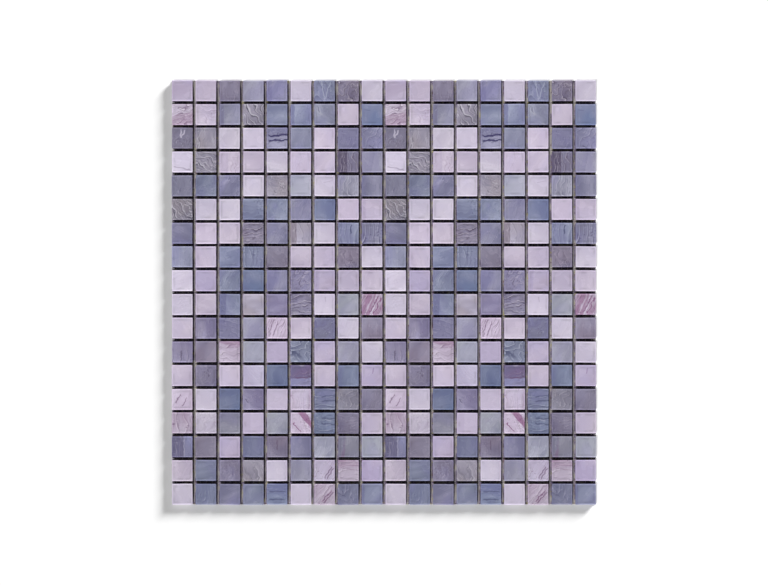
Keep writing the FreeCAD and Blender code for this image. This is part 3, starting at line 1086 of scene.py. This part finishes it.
def adhesive_material():
    """Dried adhesive: dull and uneven, with olive and brown spots."""
    graph = Graph("dried_adhesive")
    place = graph.place()
    grit = graph.noise(place, 1.3, 3.0, 0.6)
    spots = graph.noise(place, 0.4)
    stretches = graph.noise(place, 0.12, 1.0)
    body = graph.mix(graph.smooth(grit, 0.35, 0.65), colour(*ADHESIVE_DARK), colour(*ADHESIVE_LIGHT))
    body = graph.mix(graph.smooth(stretches, 0.5, 0.62), body, colour(*ADHESIVE_PALE))
    body = graph.mix(graph.smooth(spots, 0.58, 0.66), body, colour(*ADHESIVE_OLIVE))
    body = graph.mix(graph.smooth(spots, 0.42, 0.34), body, colour(*ADHESIVE_BROWN))
    lightness = graph.add(0.5, graph.times(graph.smooth(stretches, 0.25, 0.7), 0.85))
    body = graph.vector("MULTIPLY", body, lightness)
    graph.plug(body, graph.shader.inputs["Base Color"])
    graph.shader.inputs["Specular IOR Level"].default_value = DULL_SPECULAR
    graph.plug(graph.add(0.4, graph.times(grit, 0.2)), graph.shader.inputs["Roughness"])
    graph.plug(graph.bump(grit, ADHESIVE_BUMP), graph.shader.inputs["Normal"])
    return graph.material


def make_floor():
    """A wide pale floor, just under the sheet."""
    bpy.ops.mesh.primitive_plane_add(size=FLOOR_SIZE, location=(0, 0, -FLOOR_GAP))
    floor = bpy.context.object
    floor.name = "floor"
    graph = Graph("floor_paper")
    graph.shader.inputs["Base Color"].default_value = (FLOOR_ALBEDO, FLOOR_ALBEDO, FLOOR_ALBEDO, 1.0)
    graph.shader.inputs["Roughness"].default_value = 0.9
    graph.shader.inputs["Specular IOR Level"].default_value = 0.0
    floor.data.materials.append(graph.material)
    return floor


def make_world():
    """A dim even sky for the light, which the camera and reflections see as white."""
    world = bpy.data.worlds.new("studio")
    bpy.context.scene.world = world
    world.use_nodes = True
    nodes, links = world.node_tree.nodes, world.node_tree.links
    sky = nodes["Background"]
    sky.inputs["Color"].default_value = (1, 1, 1, 1)
    sky.inputs["Strength"].default_value = SKY_SHARE
    white = nodes.new("ShaderNodeBackground")
    white.inputs["Color"].default_value = (1, 1, 1, 1)
    path = nodes.new("ShaderNodeLightPath")
    either = nodes.new("ShaderNodeMath")
    either.operation = "MAXIMUM"
    links.new(path.outputs["Is Camera Ray"], either.inputs[0])
    links.new(path.outputs["Is Glossy Ray"], either.inputs[1])
    mix = nodes.new("ShaderNodeMixShader")
    links.new(either.outputs[0], mix.inputs[0])
    links.new(sky.outputs[0], mix.inputs[1])
    links.new(white.outputs[0], mix.inputs[2])
    links.new(mix.outputs[0], nodes["World Output"].inputs["Surface"])


def make_camera():
    """A long lens straight above the sheet, with the sheet as large in the picture as in the photograph."""
    data = bpy.data.cameras.new("camera")
    data.lens = LENS
    data.sensor_width = SENSOR
    camera = bpy.data.objects.new("camera", data)
    bpy.context.scene.collection.objects.link(camera)
    sheet_width = COLUMNS * PITCH - JOINT
    view_width = sheet_width * IMAGE_WIDTH / SHEET_PIXELS
    camera.location = (0, 0, face_top + view_width * LENS / SENSOR)
    bpy.context.scene.camera = camera


def collection_of(name, items):
    """A collection of objects that only some lamps light."""
    group = bpy.data.collections.new(name)
    for item in items:
        group.objects.link(item)
    return group


def level(share, elevation, albedo=1.0):
    """The strength at which a sun lights a level surface of that albedo to a share of its plain level."""
    return share * math.pi / (albedo * math.sin(math.radians(elevation)))


def make_sun(name, azimuth, elevation, strength, angle, lit, colours=True, mirrored=True):
    """A sun on one group, from an azimuth clockwise from +Y, for its colours, its gloss or both."""
    lamp = bpy.data.lights.new(name, "SUN")
    lamp.energy = strength
    lamp.angle = math.radians(angle)
    item = bpy.data.objects.new(name, lamp)
    bpy.context.scene.collection.objects.link(item)
    turn, rise = math.radians(azimuth), math.radians(elevation)
    towards = Vector((math.sin(turn) * math.cos(rise), math.cos(turn) * math.cos(rise), math.sin(rise)))
    item.rotation_euler = towards.to_track_quat("Z", "Y").to_euler()
    item.light_linking.receiver_collection = lit
    item.visible_diffuse = colours
    item.visible_glossy = mirrored


def make_soft_lamp(name, azimuth, elevation, share, lit):
    """A lamp whose gloss is that of a wide soft box, so that the glass glares in no view."""
    strength = level(share, elevation)
    make_sun(name, azimuth, elevation, strength, LAMP_ANGLE, lit, mirrored=False)
    make_sun(f"{name}_gloss", azimuth, elevation, GLOSS_SHARE * strength, GLOSS_ANGLE, lit, colours=False)


def make_lights(sheet_pieces, floor):
    """Three soft lamps for the sheet alone, and two suns for the floor alone, which carry its shadow."""
    sheet = collection_of("lit_sheet", sheet_pieces)
    paper = collection_of("lit_floor", [floor])
    make_soft_lamp("key", -LAMP_LEAN, LAMP_ELEVATION, KEY_SHARE, sheet)
    make_soft_lamp("counter", 180 + LAMP_LEAN, LAMP_ELEVATION, COUNTER_SHARE, sheet)
    make_soft_lamp("side", SIDE_AZIMUTH, SIDE_ELEVATION, SIDE_SHARE, sheet)
    make_sun("floor_key", FLOOR_KEY_AZIMUTH, FLOOR_KEY_ELEVATION,
             level(FLOOR_KEY_SHARE, FLOOR_KEY_ELEVATION, FLOOR_ALBEDO), FLOOR_KEY_ANGLE, paper)
    make_sun("floor_fill", FLOOR_FILL_AZIMUTH, FLOOR_FILL_ELEVATION,
             level(FLOOR_FILL_SHARE, FLOOR_FILL_ELEVATION, FLOOR_ALBEDO), FLOOR_FILL_ANGLE, paper)


pieces = [make_tesserae(name, glass_material(f"{name}_streaked_glass", glass))
          for name, glass in GLASSES.items()]
# The weft, in the joints between courses, gets a darker copy of the yarn as painted shade
shaded_yarn = yarn_material("shaded_yarn", **SHADED_YARN)
coated_yarn = yarn_material("coated_yarn", **COATED_YARN)
pieces.append(make_yarns("mesh_weft_yarns", 0, shaded_yarn))
pieces.append(make_yarns("mesh_warp_yarns", 1, coated_yarn))
pieces.append(make_beads(adhesive_material()))

floor_plane = make_floor()
make_world()
make_camera()
make_lights(pieces, floor_plane)

bpy.context.scene.view_settings.view_transform = "Standard"
